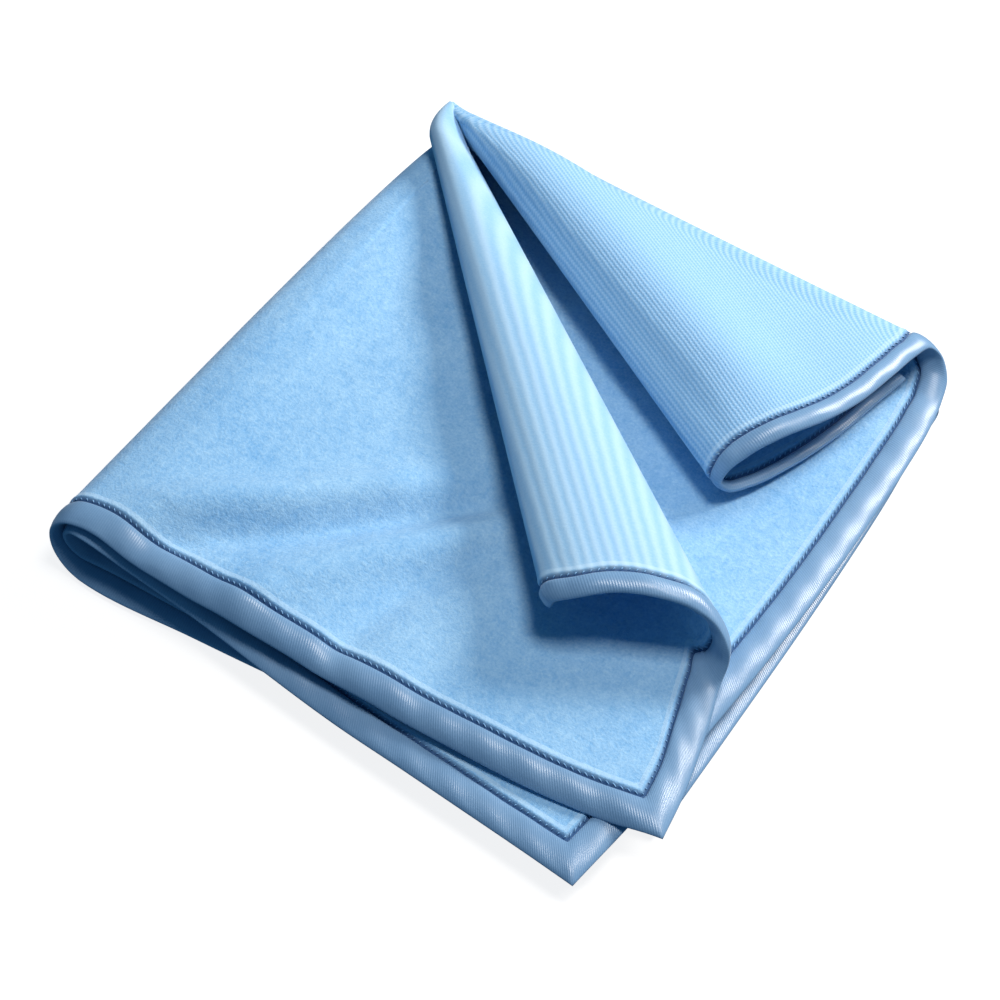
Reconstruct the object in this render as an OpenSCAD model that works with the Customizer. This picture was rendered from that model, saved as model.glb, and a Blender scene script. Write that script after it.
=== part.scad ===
// Square microfibre polishing cloth with a bound edge, folded in quarters.
// The loose corner of the two upper plies is thrown back in two soft rolls.
//
// Frame: X runs along the front hem, Y towards the closed corner where both
// folds meet, Z up. The cloth lies on Z = 0.

/* [Fabric] */
// Thickness of the knitted fabric, plush included
fabric_t = 3.0; // [2.4:0.1:3.2]
// Side of the folded cloth from the folded edge to the opposite hem
side = 206; // [180:2:230]

/* [Binding] */
// Width of the binding tape on each face
tape_w = 8.5; // [7:0.5:12]
// Thickness of one layer of binding tape
tape_wall = 0.3; // [0.2:0.05:0.5]

/* [Stitching] */
// Width of a sewing thread as it lies on the fabric
thread_w = 0.7; // [0.4:0.1:1]
// Height of a sewing thread above the fabric
thread_h = 0.3; // [0.2:0.05:0.35]

/* [Colours] */
// Plush face of the fabric
plush_colour = "#86BDE6";
// Ribbed face of the fabric
ribbed_colour = "#ABD5F1";
// Satin binding tape
tape_colour = "#8FB4D4";
// Sewing thread
thread_colour = "#4F86B8";

/* [Hidden] */

tape_t = fabric_t + 2 * tape_wall;    // thickness of the bound edge
slot_fit = 0.05;                      // play between the fabric and the tape around it
nose = 1.5;                           // distance of the fabric's cut edge from the hem
seam_gap = 0.3;                       // distance of a stitch row from the tape
squeeze = 0.25;                       // how far the seam presses each face of the fabric in
ply_gap = 0.2;                        // gap between the bottom two plies
plan = side / 206;                    // scale of the outlines drawn below

// Heights of the four plies at the folded edge, at mid thickness
bottom_z = tape_t / 2;
third_z = bottom_z + tape_t + ply_gap;
loop_z = 12.6;                        // centre of both loops of the folded edge
middle_z = 2 * loop_z - third_z;
top_z = 2 * loop_z - bottom_z;

fold_x = -93 * plan;                  // where the plies meet the loops
back_y = 101.5 * plan;                // where the plies meet the back fold
closed_y = 106 * plan;                // end of the loops at the closed corner
hem_x = 95.5 * plan;                  // right hem of the flat plies at the back fold
loop_steps = 6;                       // facets round each loop

// The middle ply from the folded edge, round the front corner and up the right
// hem, over the right-hand fold and back along the right roll, whose edge is
// turned under. Each row is a point of the hem and the point near the closed
// corner that a straight line of the cloth joins it to.
MIDDLE = planned([
    [[-93, -98, middle_z], [-93, 106, middle_z]],
    [[-74, -98, 16], [-91, 106.3, 19]],
    [[-48, -99, 12.8], [-89, 106.6, 18.3]],
    [[-20, -102, 10.5], [-87, 107, 17.6]],
    [[9, -105, 9.8], [-85.5, 107, 17]],
    [[35, -107, 9.7], [-84, 107.3, 16.5]],
    [[62, -109, 9.6], [-82.5, 107.5, 16]],
    [[91, -111.5, 9.2], [-81, 107.8, 15.5]],
    [[95, -80, 9.8], [-79.5, 108, 15.2]],
    [[97, -50, 10], [-78, 108.3, 15]],
    [[99, -20, 10], [-77, 108.5, 14.8]],
    [[100, 12, 10], [-76, 108.8, 14.6]],
    [[100, 42, 10.3], [-75, 109, 14.5]],
    [[99.5, 70, 11], [-74, 109.3, 14.4]],
    [[98.5, 88, 12], [-73, 109.6, 14.4]],
    [[97, 99, 13.5], [-72, 110, 14.5]],
    [[95, 106, 17], [-74, 111, 19]],
    [[91.5, 108.5, 22], [-78, 111, 26]],
    [[88, 106, 27], [-83, 110, 33]],
    [[86, 98, 30], [-88, 108, 37.5]],
    [[84.5, 86, 32], [-90, 106.8, 38.3]],
    [[81, 66, 33.8], [-91, 106, 38.5]],
    [[76, 52, 34.3], [-91.5, 105.8, 38.3]],
    [[69, 40, 33.5], [-92, 105, 38]],
    [[63, 31, 31], [-92.5, 104.3, 37]],
    [[59.5, 25.5, 27], [-93, 103.8, 35.5]],
    [[58.5, 23.5, 22.5], [-92.7, 103.6, 33.8]],
    [[60.5, 25.5, 18.8], [-92, 104, 32]],
    [[65, 33, 16.8], [-91, 104.8, 30.5]],
    [[71, 47, 16], [-90, 105.5, 29.8]],
    [[77, 66, 16], [-89, 106.3, 29.4]],
    [[81, 84, 16.8], [-88, 106.3, 29.2]],
    [[84.5, 97, 18.5], [-87, 106.5, 29]]
]);
MIDDLE_CORNER = 7;
RIGHT_FOLD = 15;
RIGHT_ROLL = 19;
RIGHT_UNDER = 25;
MIDDLE_END = 32;

// The top ply from the folded edge, round the front corner and up the right
// hem, then up and over the left roll, whose edge is turned under.
TOP = planned([
    [[-93, -97, top_z], [-93, 106, top_z]],
    [[-72, -97.5, 23.4], [-92, 105, 23.8]],
    [[-46, -98, 22.3], [-91, 104, 23.8]],
    [[-18, -97.5, 20.6], [-90, 103, 23.8]],
    [[10, -97, 18.8], [-89, 102.3, 23.8]],
    [[38, -96, 17], [-88, 101.6, 23.8]],
    [[66, -94, 15.5], [-87, 101, 23.8]],
    [[88, -91, 14.4], [-86, 100.4, 23.8]],
    [[105, -88, 13.8], [-85, 99.8, 23.8]],
    [[103, -74, 14], [-84, 99.2, 23.8]],
    [[100, -60, 14.8], [-83, 98.6, 23.8]],
    [[97, -48, 16.8], [-82, 98, 23.9]],
    [[94.5, -39, 20.5], [-81, 97.4, 24.3]],
    [[94.3, -35.5, 25], [-80.5, 96.6, 26]],
    [[93.2, -34, 30], [-80.5, 95.6, 29]],
    [[88.7, -32.5, 35], [-81.5, 94.6, 32.5]],
    [[81.7, -33.5, 39.5], [-83.5, 94, 35.5]],
    [[71.7, -37.5, 42.6], [-86.5, 94.2, 37.6]],
    [[60.7, -43, 43], [-89.5, 95.4, 38]],
    [[52, -49, 40.8], [-92, 96.8, 36.8]],
    [[45.7, -51.5, 36.5], [-93.8, 98, 34.4]],
    [[44.5, -51, 33], [-94.3, 98.5, 32.4]]
]);
TOP_CORNER = 8;
LEFT_SIDE = 12;
LEFT_ROLL = 15;
LEFT_UNDER = 20;
TOP_END = 21;

// A chain with its outlines scaled to the size of the cloth.
function planned(chain) = [for (line = chain) [for (p = line) [plan * p[0], plan * p[1], p[2]]]];

// A loop of the folded edge, from the lower ply up to the upper one. It runs one
// step past each end, so that the normals at its ends are upright.
function loop(radius, y_low, y_high) = [
    for (k = [-1 : loop_steps + 1])
        let (a = 180 * k / loop_steps, y = y_low + (y_high - y_low) * k / loop_steps)
        [
            [fold_x - radius * sin(a), y, loop_z - radius * cos(a)],
            [fold_x - radius * sin(a), closed_y, loop_z - radius * cos(a)]
        ]
];
LOOP_START = 1;
LOOP_END = loop_steps + 1;
bottom_front_y = -101 * plan;
third_front_y = -96 * plan;
OUTER = loop(loop_z - bottom_z, bottom_front_y, TOP[0][0][1]);
INNER = loop(loop_z - third_z, third_front_y, MIDDLE[0][0][1]);

// Outlines of the two flat plies: front left, front corner, a point of the right
// hem, back right, back left.
BOTTOM = [
    [fold_x, bottom_front_y], plan * [100, -80], plan * [99.7, 10],
    [hem_x, back_y], [fold_x, back_y]
];
THIRD = [
    [fold_x, third_front_y], plan * [94, -84], plan * [97.5, 10],
    [hem_x, back_y], [fold_x, back_y]
];

// How far along a chain's lines the rolls and plies start, from 0 at the closed corner
PLY_START = 0;
ROLL_START = 0.08;
FIELD_STEPS = [0, 0.25, 0.5, 0.75];

// ---------------------------------------------------------------- geometry

function unit(v) = v / norm(v);
function last(list) = len(list) - 1;

// Direction of the hem at point i. A corner takes the hem that leads up to it.
function hem_direction(chain, i, corner) =
    i == 0 ? unit(chain[1][0] - chain[0][0])
    : i == corner || i == last(chain) ? unit(chain[i][0] - chain[i - 1][0])
    : unit(chain[i + 1][0] - chain[i - 1][0]);

// Place on line i that lies d inside the hem, as a share of the line.
function inset(chain, i, corner, d) =
    let (line = chain[i][0] - chain[i][1],
         slant = norm(cross(unit(line), hem_direction(chain, i, corner))))
    1 - d / (norm(line) * slant);

function at(chain, i, s) = chain[i][1] + s * (chain[i][0] - chain[i][1]);

// Normal of the cloth, on the side that is up where a ply lies flat. Both chains
// leave the folded edge level.
function normal_at(chain, i, s) =
    i == 0 ? [0, 0, 1] :
    let (before = at(chain, max(i - 1, 0), s), after = at(chain, min(i + 1, last(chain)), s))
    unit(cross(at(chain, i, s) - at(chain, i, s - 0.1), after - before));

// Point of line i, d inside the hem and h above the middle of the fabric.
function hem_point(chain, i, corner, d, h) =
    let (s = inset(chain, i, corner, d))
    at(chain, i, s) + h * normal_at(chain, i, s);

// Closed solid between two grids of points with the same rows and columns.
module skin(outer, inner) {
    rows = len(outer);
    cols = len(outer[0]);
    count = rows * cols;
    function o(i, j) = i * cols + j;
    function n(i, j) = count + i * cols + j;
    function quad(a, b, c, d) = [[a, b, c], [a, c, d]];
    faces = [
        for (i = [0 : rows - 2], j = [0 : cols - 2])
            each quad(o(i, j), o(i + 1, j), o(i + 1, j + 1), o(i, j + 1)),
        for (i = [0 : rows - 2], j = [0 : cols - 2])
            each quad(n(i, j), n(i, j + 1), n(i + 1, j + 1), n(i + 1, j)),
        for (i = [0 : rows - 2])
            each quad(o(i, 0), n(i, 0), n(i + 1, 0), o(i + 1, 0)),
        for (i = [0 : rows - 2], j = cols - 1)
            each quad(o(i + 1, j), n(i + 1, j), n(i, j), o(i, j)),
        for (j = [0 : cols - 2])
            each quad(o(0, j), o(0, j + 1), n(0, j + 1), n(0, j)),
        for (i = rows - 1, j = [0 : cols - 2])
            each quad(n(i, j + 1), o(i, j + 1), o(i, j), n(i, j))
    ];
    points = concat([for (row = outer) each row], [for (row = inner) each row]);
    polyhedron(points, faces, convexity = 6);
}

// Fabric of a chain between lines a and b. The seam presses it thinner in the tape.
module sheet(chain, a, b, corner, start) {
    field_end = 0.9;
    function field(i, h) = [
        for (f = FIELD_STEPS)
            let (s = start + f * (field_end - start))
            at(chain, i, s) + h * normal_at(chain, i, s)
    ];
    function face(i, side) = concat(
        field(i, side * fabric_t / 2),
        [for (d = [tape_w, nose]) hem_point(chain, i, corner, d, side * (fabric_t / 2 - squeeze))]);
    skin([for (i = [a : b]) face(i, 1)], [for (i = [a : b]) face(i, -1)]);
}

// Binding tape of a chain between lines a and b: a channel round the cut edge.
module tape(chain, a, b, corner) {
    h = tape_t / 2;
    g = fabric_t / 2 + slot_fit;
    OUTSIDE = [[tape_w, h], [2.5, h], [0.8, 0.8 * h], [0, 0], [0.8, -0.8 * h], [2.5, -h], [tape_w, -h]];
    e = nose - slot_fit;
    INSIDE = [[tape_w, g], [2.5, g], [e, g], [e, 0], [e, -g], [2.5, -g], [tape_w, -g]];
    skin([for (i = [a : b]) [for (p = OUTSIDE) hem_point(chain, i, corner, p[0], p[1])]],
         [for (i = [a : b]) [for (p = INSIDE) hem_point(chain, i, corner, p[0], p[1])]]);
}

// Thread of a chain between lines a and b. up is 1 on the outer face, -1 on the inner.
module thread(chain, a, b, corner, up) {
    d = tape_w + seam_gap;
    low = fabric_t / 2 + slot_fit;
    high = low + thread_h;
    far = up > 0 ? high : -low;
    near = up > 0 ? low : -high;
    skin([for (i = [a : b]) [for (p = [d + thread_w, d]) hem_point(chain, i, corner, p, far)]],
         [for (i = [a : b]) [for (p = [d + thread_w, d]) hem_point(chain, i, corner, p, near)]]);
}

// ---------------------------------------------------------------- flat plies

// Corner of a flat ply's hem, d inside it along both hems.
function ply_inset(outline, d) = [
    outline[0] + [0, d],
    outline[1] + [-d, d],
    outline[2] + [-d, 0],
    outline[3] + [-d, 0],
    outline[4]
];

module flat_slab(outline, d, z, t) {
    translate([0, 0, z - t / 2])
        linear_extrude(t)
            polygon(ply_inset(outline, d));
}

// Strip of a flat ply between two distances from the hem, along the front or the right.
module hem_strip(outline, d_out, d_in, z, t, front) {
    o = ply_inset(outline, d_out);
    n = ply_inset(outline, d_in);
    translate([0, 0, z - t / 2])
        linear_extrude(t)
            polygon(front ? [o[0], o[1], n[1], n[0]] : [o[1], o[2], o[3], n[3], n[2], n[1]]);
}

module flat_tape(outline, z, front) {
    difference() {
        hem_strip(outline, 0, tape_w, z, tape_t, front);
        hem_strip(outline, nose - slot_fit, 2 * tape_w, z, fabric_t + 2 * slot_fit, front);
    }
}

// Stitch row of a flat ply, let into the fabric by its own height.
module flat_thread(outline, z, up, grow = 0) {
    d = tape_w + seam_gap;
    deck = z + up * (fabric_t / 2 - thread_h / 2);
    for (front = [true, false])
        hem_strip(outline, d - grow, d + thread_w + grow, deck + up * grow, thread_h + 2 * grow, front);
}

module flat_ply(outline, z) {
    difference() {
        flat_slab(outline, nose, z, fabric_t);
        for (up = [1, -1])
            flat_thread(outline, z, up, slot_fit);
    }
}

// Half ring that joins the two flat plies at the back, between x0 and x1.
module back_loop(x0, x1, t) {
    middle = (bottom_z + third_z) / 2;
    radius = (third_z - bottom_z) / 2;
    translate([x0, back_y, middle])
        rotate([90, 0, 90])
            linear_extrude(x1 - x0)
                intersection() {
                    difference() {
                        circle(r = radius + t / 2, $fn = 48);
                        circle(r = radius - t / 2, $fn = 48);
                    }
                    translate([0, -2 * tape_t])
                        square(4 * tape_t);
                }
}

// ---------------------------------------------------------------- the nodes

module panel_bottom_ply() {
    color(plush_colour)
        flat_ply(BOTTOM, bottom_z);
}
module panel_third_ply() {
    color(plush_colour)
        flat_ply(THIRD, third_z);
}
module panel_back_fold() {
    color(plush_colour)
        back_loop(fold_x, hem_x - tape_w, fabric_t);
}
module panel_outer_fold() {
    color(plush_colour)
        sheet(OUTER, LOOP_START, LOOP_END, -1, PLY_START);
}
module panel_inner_fold() {
    color(plush_colour)
        sheet(INNER, LOOP_START, LOOP_END, -1, PLY_START);
}
module panel_middle_ply() {
    color(plush_colour)
        sheet(MIDDLE, 0, RIGHT_FOLD, MIDDLE_CORNER, PLY_START);
}
module panel_right_fold() {
    color(ribbed_colour)
        sheet(MIDDLE, RIGHT_FOLD, RIGHT_ROLL, MIDDLE_CORNER, ROLL_START);
}
module panel_right_roll() {
    color(ribbed_colour)
        sheet(MIDDLE, RIGHT_ROLL, RIGHT_UNDER, MIDDLE_CORNER, ROLL_START);
}
module panel_right_roll_under() {
    color(ribbed_colour)
        sheet(MIDDLE, RIGHT_UNDER, MIDDLE_END, MIDDLE_CORNER, ROLL_START);
}
module panel_top_ply() {
    color(plush_colour)
        sheet(TOP, 0, LEFT_SIDE, TOP_CORNER, PLY_START);
}
module panel_left_roll_side() {
    color(ribbed_colour)
        sheet(TOP, LEFT_SIDE, LEFT_ROLL, TOP_CORNER, ROLL_START);
}
module panel_left_roll() {
    color(ribbed_colour)
        sheet(TOP, LEFT_ROLL, LEFT_UNDER, TOP_CORNER, ROLL_START);
}
module panel_left_roll_under() {
    color(ribbed_colour)
        sheet(TOP, LEFT_UNDER, TOP_END, TOP_CORNER, ROLL_START);
}

module tape_bottom_front() {
    color(tape_colour)
        flat_tape(BOTTOM, bottom_z, true);
}
module tape_bottom_right() {
    color(tape_colour)
        flat_tape(BOTTOM, bottom_z, false);
}
module tape_third_front() {
    color(tape_colour)
        flat_tape(THIRD, third_z, true);
}
module tape_third_right() {
    color(tape_colour)
        flat_tape(THIRD, third_z, false);
}
module tape_back_fold() {
    color(tape_colour)
        back_loop(hem_x - tape_w, hem_x, tape_t);
}
module tape_outer_fold() {
    color(tape_colour)
        tape(OUTER, LOOP_START, LOOP_END, -1);
}
module tape_inner_fold() {
    color(tape_colour)
        tape(INNER, LOOP_START, LOOP_END, -1);
}
module tape_middle_front() {
    color(tape_colour)
        tape(MIDDLE, 0, MIDDLE_CORNER, MIDDLE_CORNER);
}
module tape_middle_right() {
    color(tape_colour)
        tape(MIDDLE, MIDDLE_CORNER, RIGHT_FOLD, MIDDLE_CORNER);
}
module tape_right_fold() {
    color(tape_colour)
        tape(MIDDLE, RIGHT_FOLD, RIGHT_ROLL, MIDDLE_CORNER);
}
module tape_right_roll() {
    color(tape_colour)
        tape(MIDDLE, RIGHT_ROLL, MIDDLE_END, MIDDLE_CORNER);
}
module tape_top_front() {
    color(tape_colour)
        tape(TOP, 0, TOP_CORNER, TOP_CORNER);
}
module tape_top_right() {
    color(tape_colour)
        tape(TOP, TOP_CORNER, LEFT_SIDE, TOP_CORNER);
}
module tape_left_roll() {
    color(tape_colour)
        tape(TOP, LEFT_SIDE, TOP_END, TOP_CORNER);
}

module needle_thread_bottom() {
    color(thread_colour)
        flat_thread(BOTTOM, bottom_z, -1);
}
module bobbin_thread_bottom() {
    color(thread_colour)
        flat_thread(BOTTOM, bottom_z, 1);
}
module needle_thread_third() {
    color(thread_colour)
        flat_thread(THIRD, third_z, 1);
}
module bobbin_thread_third() {
    color(thread_colour)
        flat_thread(THIRD, third_z, -1);
}
module needle_thread_outer_fold() {
    color(thread_colour)
        thread(OUTER, LOOP_START, LOOP_END, -1, 1);
}
module bobbin_thread_outer_fold() {
    color(thread_colour)
        thread(OUTER, LOOP_START, LOOP_END, -1, -1);
}
module needle_thread_inner_fold() {
    color(thread_colour)
        thread(INNER, LOOP_START, LOOP_END, -1, -1);
}
module bobbin_thread_inner_fold() {
    color(thread_colour)
        thread(INNER, LOOP_START, LOOP_END, -1, 1);
}
module needle_thread_middle() {
    color(thread_colour)
        thread(MIDDLE, 0, RIGHT_FOLD, MIDDLE_CORNER, -1);
}
module bobbin_thread_middle() {
    color(thread_colour)
        thread(MIDDLE, 0, RIGHT_FOLD, MIDDLE_CORNER, 1);
}
module needle_thread_right_roll() {
    color(thread_colour)
        thread(MIDDLE, RIGHT_FOLD, MIDDLE_END, MIDDLE_CORNER, -1);
}
module bobbin_thread_right_roll() {
    color(thread_colour)
        thread(MIDDLE, RIGHT_FOLD, MIDDLE_END, MIDDLE_CORNER, 1);
}
module needle_thread_top() {
    color(thread_colour)
        thread(TOP, 0, TOP_END, TOP_CORNER, 1);
}
module bobbin_thread_top() {
    color(thread_colour)
        thread(TOP, 0, TOP_END, TOP_CORNER, -1);
}

panel_bottom_ply();
panel_third_ply();
panel_back_fold();
panel_outer_fold();
panel_inner_fold();
panel_middle_ply();
panel_right_fold();
panel_right_roll();
panel_right_roll_under();
panel_top_ply();
panel_left_roll_side();
panel_left_roll();
panel_left_roll_under();
tape_bottom_front();
tape_bottom_right();
tape_third_front();
tape_third_right();
tape_back_fold();
tape_outer_fold();
tape_inner_fold();
tape_middle_front();
tape_middle_right();
tape_right_fold();
tape_right_roll();
tape_top_front();
tape_top_right();
tape_left_roll();
needle_thread_bottom();
bobbin_thread_bottom();
needle_thread_third();
bobbin_thread_third();
needle_thread_outer_fold();
bobbin_thread_outer_fold();
needle_thread_inner_fold();
bobbin_thread_inner_fold();
needle_thread_middle();
bobbin_thread_middle();
needle_thread_right_roll();
bobbin_thread_right_roll();
needle_thread_top();
bobbin_thread_top();
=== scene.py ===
"""Folded microfibre polishing cloth: the visual model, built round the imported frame.

The cloth is one long strip of straight lines, each from near the closed corner of the
folds out to the hem. The strip runs from the turned-under edge of the right roll over
the roll and the right-hand fold, round the middle ply, down the inner loop of the folded
edge, round the third ply, over the back fold, round the bottom ply, up the outer loop,
round the top ply and over the left roll. Lengths are millimetres until a mesh is made.
"""

from math import cos, pi, sin

import bpy
import numpy as np
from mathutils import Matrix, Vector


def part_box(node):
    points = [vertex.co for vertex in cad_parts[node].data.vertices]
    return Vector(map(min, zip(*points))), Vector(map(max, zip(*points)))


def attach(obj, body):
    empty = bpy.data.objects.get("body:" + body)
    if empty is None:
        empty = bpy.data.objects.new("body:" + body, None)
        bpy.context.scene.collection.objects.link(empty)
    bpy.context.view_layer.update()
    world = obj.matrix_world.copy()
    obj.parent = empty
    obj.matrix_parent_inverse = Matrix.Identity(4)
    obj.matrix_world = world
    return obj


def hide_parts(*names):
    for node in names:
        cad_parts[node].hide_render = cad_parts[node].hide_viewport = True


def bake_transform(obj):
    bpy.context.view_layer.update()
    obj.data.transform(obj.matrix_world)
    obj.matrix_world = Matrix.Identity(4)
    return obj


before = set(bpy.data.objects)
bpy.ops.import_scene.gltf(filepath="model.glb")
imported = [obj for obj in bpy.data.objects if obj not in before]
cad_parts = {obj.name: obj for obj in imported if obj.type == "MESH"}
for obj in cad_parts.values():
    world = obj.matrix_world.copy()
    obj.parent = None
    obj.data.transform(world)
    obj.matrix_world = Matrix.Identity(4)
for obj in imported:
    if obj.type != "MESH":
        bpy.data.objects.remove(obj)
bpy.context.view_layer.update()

MM = 0.001
LOWER, UPPER = "lower_half", "upper_half"


def node_box(name):
    """A CAD node's lowest and highest corners, in millimetres."""
    low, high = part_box(name)
    return np.array(low) / MM, np.array(high) / MM


# ---------------------------------------------------------------- sizes from the frame

BOTTOM_LOW, BOTTOM_HIGH = node_box("panel_bottom_ply")
THIRD_LOW, THIRD_HIGH = node_box("panel_third_ply")
TAPE_LOW, TAPE_HIGH = node_box("tape_bottom_front")
LOOP_LOW, LOOP_HIGH = node_box("panel_outer_fold")

FABRIC_T = THIRD_HIGH[2] - THIRD_LOW[2]
TAPE_T = TAPE_HIGH[2] - TAPE_LOW[2]
TAPE_W = 8.5
RIGHT_X = node_box("panel_back_fold")[1][0] + TAPE_W
FOLD_X = BOTTOM_LOW[0]
BACK_Y = BOTTOM_HIGH[1]
BOTTOM_Z = (TAPE_LOW[2] + TAPE_HIGH[2]) / 2
THIRD_Z = (THIRD_LOW[2] + THIRD_HIGH[2]) / 2
LOOP_Z = (LOOP_LOW[2] + LOOP_HIGH[2]) / 2
MIDDLE_Z = 2 * LOOP_Z - THIRD_Z
TOP_Z = 2 * LOOP_Z - BOTTOM_Z

# ---------------------------------------------------------------- the cloth's lines

# Each row is a point of the hem and the point near the closed corner that a straight
# line of the cloth joins it to.
RIGHT_ROLL_UNDER = [
    [[84.5, 97, 18.5], [-87, 106.5, 29]],
    [[81, 84, 16.8], [-88, 106.3, 29.2]],
    [[77, 66, 16], [-89, 106.3, 29.4]],
    [[71, 47, 16], [-90, 105.5, 29.8]],
    [[65, 33, 16.8], [-89, 106, 30.5]],
    [[60.5, 25.5, 18.8], [-89.4, 105.6, 32]],
    [[58.5, 23.5, 22.5], [-89.8, 105.4, 33.8]],
]
RIGHT_ROLL = [
    [[59.5, 25.5, 27], [-90, 105.4, 35.5]],
    [[63, 31, 31], [-90.2, 105.6, 37]],
    [[69, 40, 33.5], [-90.7, 105.7, 38]],
    [[76, 52, 34.3], [-91.5, 105.8, 38.3]],
    [[81, 66, 33.8], [-91, 106, 38.5]],
    [[84.5, 86, 32], [-90, 106.8, 38.3]],
    [[86, 98, 30], [-88, 108, 37.5]],
]
RIGHT_FOLD = [
    [[88, 106, 27], [-83, 110, 33]],
    [[91.5, 108.5, 22], [-78, 111, 26]],
    [[95, 106, 17], [-74, 111, 19]],
    [[97, 99, 13.5], [-72, 110, 14.5]],
]
MIDDLE_PLY = [
    [[98.5, 88, 12], [-73, 109.6, 14.4]],
    [[99.5, 70, 11], [-74, 109.3, 14.4]],
    [[100, 42, 10.3], [-75, 109, 14.5]],
    [[100, 12, 10], [-76, 108.8, 14.6]],
    [[99, -20, 10], [-77, 108.5, 14.8]],
    [[97, -50, 10], [-78, 108.3, 15]],
    [[95, -80, 9.8], [-79.5, 108, 15.2]],
    [[91, -111.5, 9.2], [-81, 107.8, 15.5]],
    [[62, -109, 9.6], [-82.5, 107.5, 16]],
    [[35, -107, 9.7], [-84, 107.3, 16.5]],
    [[9, -105, 9.8], [-85.5, 107, 17]],
    [[-20, -102, 10.5], [-87, 107, 17.6]],
    [[-48, -99, 12.8], [-89, 106.6, 18.3]],
    [[-74, -98, 16], [-91, 106.3, 19]],
    [[FOLD_X, -98, MIDDLE_Z], [FOLD_X, 106, MIDDLE_Z]],
]
THIRD_PLY = [
    [[FOLD_X, -96, THIRD_Z], [FOLD_X, 105, THIRD_Z]],
    [[-50, -94.8, THIRD_Z], [FOLD_X, BACK_Y, THIRD_Z]],
    [[0, -92, THIRD_Z], [-92.7, BACK_Y, THIRD_Z]],
    [[50, -88.5, THIRD_Z], [-92.5, BACK_Y, THIRD_Z]],
    [[94, -84, THIRD_Z], [-92.2, BACK_Y, THIRD_Z]],
    [[96.3, -45, THIRD_Z], [-92, BACK_Y, THIRD_Z]],
    [[97.5, 5, THIRD_Z], [-91.8, BACK_Y, THIRD_Z]],
    [[97.2, 60, THIRD_Z], [-91.5, BACK_Y, THIRD_Z]],
    [[RIGHT_X, BACK_Y, THIRD_Z], [-91, BACK_Y, THIRD_Z]],
]
BOTTOM_PLY = [
    [[RIGHT_X, BACK_Y, BOTTOM_Z], [-91, BACK_Y, BOTTOM_Z]],
    [[98.2, 60, BOTTOM_Z], [-91.5, BACK_Y, BOTTOM_Z]],
    [[99.7, 10, BOTTOM_Z], [-91.8, BACK_Y, BOTTOM_Z]],
    [[100, -40, BOTTOM_Z], [-92, BACK_Y, BOTTOM_Z]],
    [[100, -80, BOTTOM_Z], [-92.2, BACK_Y, BOTTOM_Z]],
    [[50, -88.5, BOTTOM_Z], [-92.5, BACK_Y, BOTTOM_Z]],
    [[0, -95, BOTTOM_Z], [-92.7, BACK_Y, BOTTOM_Z]],
    [[-50, -99, BOTTOM_Z], [FOLD_X, BACK_Y, BOTTOM_Z]],
    [[FOLD_X, -101, BOTTOM_Z], [FOLD_X, 105, BOTTOM_Z]],
]
TOP_PLY = [
    [[FOLD_X, -97, TOP_Z], [FOLD_X, 106, TOP_Z]],
    [[-72, -97.5, 23.4], [-92, 105, 23.8]],
    [[-46, -98, 22.3], [-91, 104, 23.8]],
    [[-18, -97.5, 20.6], [-90, 103, 23.8]],
    [[10, -97, 18.8], [-89, 102.3, 23.8]],
    [[38, -96, 17], [-88, 101.6, 23.8]],
    [[66, -94, 15.5], [-87, 101, 23.8]],
    [[88, -91, 14.4], [-86, 100.4, 23.8]],
    [[105, -88, 13.8], [-85, 99.8, 23.8]],
    [[103, -74, 14], [-84, 99.2, 23.8]],
    [[100, -60, 14.8], [-83, 98.6, 23.8]],
    [[97, -48, 16.8], [-82, 98, 23.9]],
    [[94.5, -39, 20.5], [-81, 97.4, 24.3]],
]
LEFT_ROLL = [
    [[94.3, -35.5, 25], [-80.5, 96.6, 26]],
    [[93.2, -34, 30], [-80.5, 95.6, 29]],
    [[88.7, -32.5, 35], [-81.5, 94.6, 32.5]],
    [[81.7, -33.5, 39.5], [-84, 93.6, 35.5]],
    [[71.7, -37.5, 42.6], [-87.6, 93.4, 37.6]],
    [[60.7, -43, 43], [-91.3, 94.2, 38]],
    [[52, -49, 40.8], [-94.4, 95.2, 36.8]],
    [[45.7, -51.5, 36.5], [-96.4, 96.3, 34.4]],
    [[44.5, -51, 33], [-96.9, 96.8, 32.4]],
]
LOOP_STEPS = 8
BACK_R = (THIRD_Z - BOTTOM_Z) / 2


def edge_loop(front_from, front_to, radius, rise):
    """Lines of a loop of the folded edge. rise is 1 from the lower ply up, -1 downwards."""
    lines = []
    for k in range(1, LOOP_STEPS):
        a, f = pi * k / LOOP_STEPS, k / LOOP_STEPS
        x, z = FOLD_X - radius * sin(a), LOOP_Z - rise * radius * cos(a)
        lines.append([[x, front_from + (front_to - front_from) * f, z], [x, 105.5, z]])
    return lines


def back_fold():
    """Lines of the half ring that joins the two lowest plies, from the upper one down."""
    lines = []
    for k in range(1, LOOP_STEPS):
        a = pi * k / LOOP_STEPS
        y = BACK_Y + BACK_R * sin(a)
        z = (THIRD_Z + BOTTOM_Z) / 2 + BACK_R * cos(a)
        lines.append([[RIGHT_X, y, z], [-91, y, z]])
    return lines


INNER_LOOP = edge_loop(-98, -96, LOOP_Z - THIRD_Z, -1)
OUTER_LOOP = edge_loop(-101, -97, LOOP_Z - BOTTOM_Z, 1)
BACK_FOLD = back_fold()

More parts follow.
